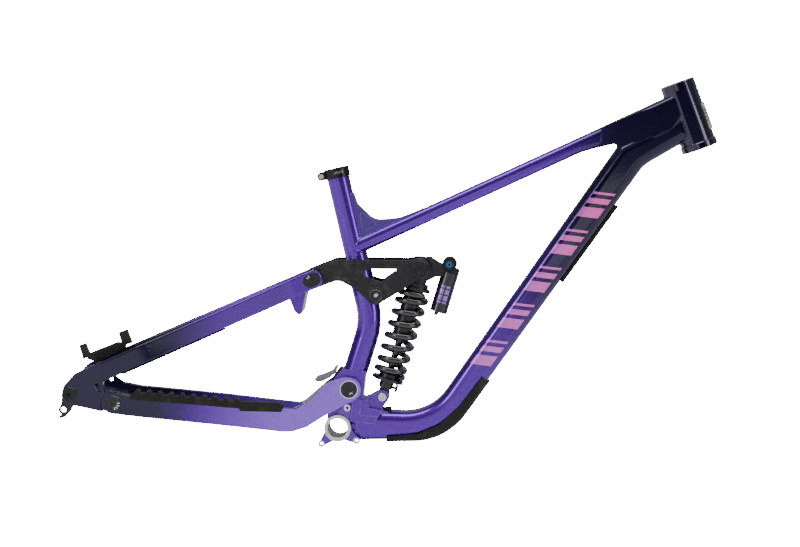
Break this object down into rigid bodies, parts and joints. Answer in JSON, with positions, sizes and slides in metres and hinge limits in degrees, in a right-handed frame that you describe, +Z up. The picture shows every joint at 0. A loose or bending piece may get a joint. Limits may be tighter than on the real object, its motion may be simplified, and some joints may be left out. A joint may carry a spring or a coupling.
{
  "type": "bicycle frame",
  "caption": "Full-suspension mountain bike frame with four-bar rear end, rocker link and coil spring shock.",
  "frame": {"origin": "centre of the bottom bracket shell", "axes": "+X forward towards the head tube, +Y towards the rider's left along the bottom bracket axis, +Z up with the frame in riding attitude"},
  "size_m": [1.0443, 0.1692, 0.6935],
  "materials": {
    "frame_paint": "gloss metallic, fading to navy at the head tube and dropouts",
    "bare_aluminium": "machined",
    "black_anodised": "satin",
    "blue_anodised": "satin",
    "coil_steel": "semi-gloss powder coat",
    "hard_chrome": "polished",
    "bolt_steel": "plated",
    "bearing_steel": "ground",
    "guard_rubber": "matte moulded",
    "flap_plastic": "matte",
    "cap_plastic": "matte",
    "badge_metal": "brushed"
  },
  "bodies": {
    "front_triangle": {"head_tube": "frame_paint", "head_tube_gusset": "frame_paint", "down_tube": "frame_paint", "top_tube": "frame_paint", "seat_tube": "frame_paint", "rocker_pivot_boss": "frame_paint", "seat_tube_gusset": "frame_paint", "bottom_bracket_shell": "bare_aluminium", "main_pivot_yoke": "frame_paint", "chain_guide_bosses": "bare_aluminium", "head_badge": "badge_metal", "seat_clamp_collar": "black_anodised", "seat_clamp_bolt": "bolt_steel", "down_tube_lower_guard": "guard_rubber", "down_tube_upper_pad": "guard_rubber", "mud_flap_base": "guard_rubber", "mud_flap_tongue": "flap_plastic", "cable_grommet": "guard_rubber", "main_pivot_axle": "bolt_steel", "main_pivot_caps": "black_anodised", "rocker_pivot_axle": "bolt_steel", "rocker_pivot_caps": "black_anodised", "shock_lower_bolt": "bolt_steel"},
    "chainstay": {"chainstay_yoke": "frame_paint", "chainstay_left": "frame_paint", "chainstay_right": "frame_paint", "main_pivot_bearings": "bearing_steel", "rear_pivot_bolts": "black_anodised", "chainstay_protector": "guard_rubber", "yoke_edge_strip": "guard_rubber"},
    "seatstay": {"seatstay_left": "frame_paint", "seatstay_right": "frame_paint", "seatstay_bridge": "frame_paint", "dropout_left": "frame_paint", "dropout_right": "frame_paint", "rear_pivot_bearings": "bearing_steel", "brake_mount": "frame_paint", "derailleur_hanger": "black_anodised", "hanger_bolt": "black_anodised", "rear_axle": "black_anodised", "seatstay_protector": "guard_rubber", "seatstay_pivot_caps": "black_anodised", "seatstay_pivot_pins": "bolt_steel"},
    "rocker": {"rocker_plate_left": "black_anodised", "rocker_plate_right": "black_anodised", "rocker_bridge": "black_anodised", "rocker_bearings": "bearing_steel", "shock_upper_bolt": "bolt_steel"},
    "shock_shaft": {"lower_eyelet": "black_anodised", "spring_retainer": "black_anodised", "shock_rod": "hard_chrome", "bump_stop": "guard_rubber", "coil_spring": "coil_steel"},
    "rebound_dial": {"rebound_knob": "black_anodised"},
    "damper": {"damper_tube": "black_anodised", "shock_head": "black_anodised", "reservoir": "black_anodised", "reservoir_valve_cap": "cap_plastic"},
    "preload_ring": {"preload_collar": "black_anodised"},
    "compression_dial": {"compression_knob": "blue_anodised"}
  },
  "joints": [
    {"name": "main_pivot", "type": "hinge", "parent": "front_triangle", "child": "chainstay", "pos_m": [0.0115, 0, 0.068], "axis": [0, 1, 0], "range_deg": [0, 20], "stiffness_Nm_per_rad": 2280, "springref_deg": -0.57},
    {"name": "rear_pivot", "type": "hinge", "parent": "chainstay", "child": "seatstay", "pos_m": [-0.377, 0, 0.002], "axis": [0, 1, 0], "range_deg": [-9, 0]},
    {"name": "rocker_pivot", "type": "hinge", "parent": "front_triangle", "child": "rocker", "pos_m": [0.0375, 0, 0.231], "axis": [0, 1, 0], "range_deg": [0, 45.5]},
    {"name": "shock_eye", "type": "hinge", "parent": "front_triangle", "child": "shock_shaft", "pos_m": [0.06806, 0, 0.05949], "axis": [0, 1, 0], "range_deg": [0, 10.2]},
    {"name": "shock_stroke", "type": "slide", "parent": "shock_shaft", "child": "damper", "axis": [-0.1736, 0, -0.9848], "range_m": [0, 0.06], "deforming": ["coil_spring"]},
    {"name": "rebound_dial_turn", "type": "hinge", "parent": "shock_shaft", "child": "rebound_dial", "pos_m": [0.08948, 0, 0.07501], "axis": [0.9848, 0, -0.1736], "range_deg": [0, 330]},
    {"name": "compression_dial_turn", "type": "hinge", "parent": "damper", "child": "compression_dial", "pos_m": [0.15454, -0.0153, 0.29658], "axis": [0, -1, 0], "range_deg": [0, 330]},
    {"name": "preload_ring_turn", "type": "hinge", "parent": "damper", "child": "preload_ring", "pos_m": [0.10192, 0, 0.25153], "axis": [0.1736, 0, 0.9848], "continuous": true}
  ],
  "couplings": [
    {"joint": "rear_pivot", "follows": "main_pivot", "ratio": -0.44159},
    {"joint": "rocker_pivot", "follows": "main_pivot", "ratio": 2.2569},
    {"joint": "shock_eye", "follows": "main_pivot", "ratio": 0.49682},
    {"joint": "shock_stroke", "follows": "main_pivot", "m_per_rad": 0.1703}
  ]
}
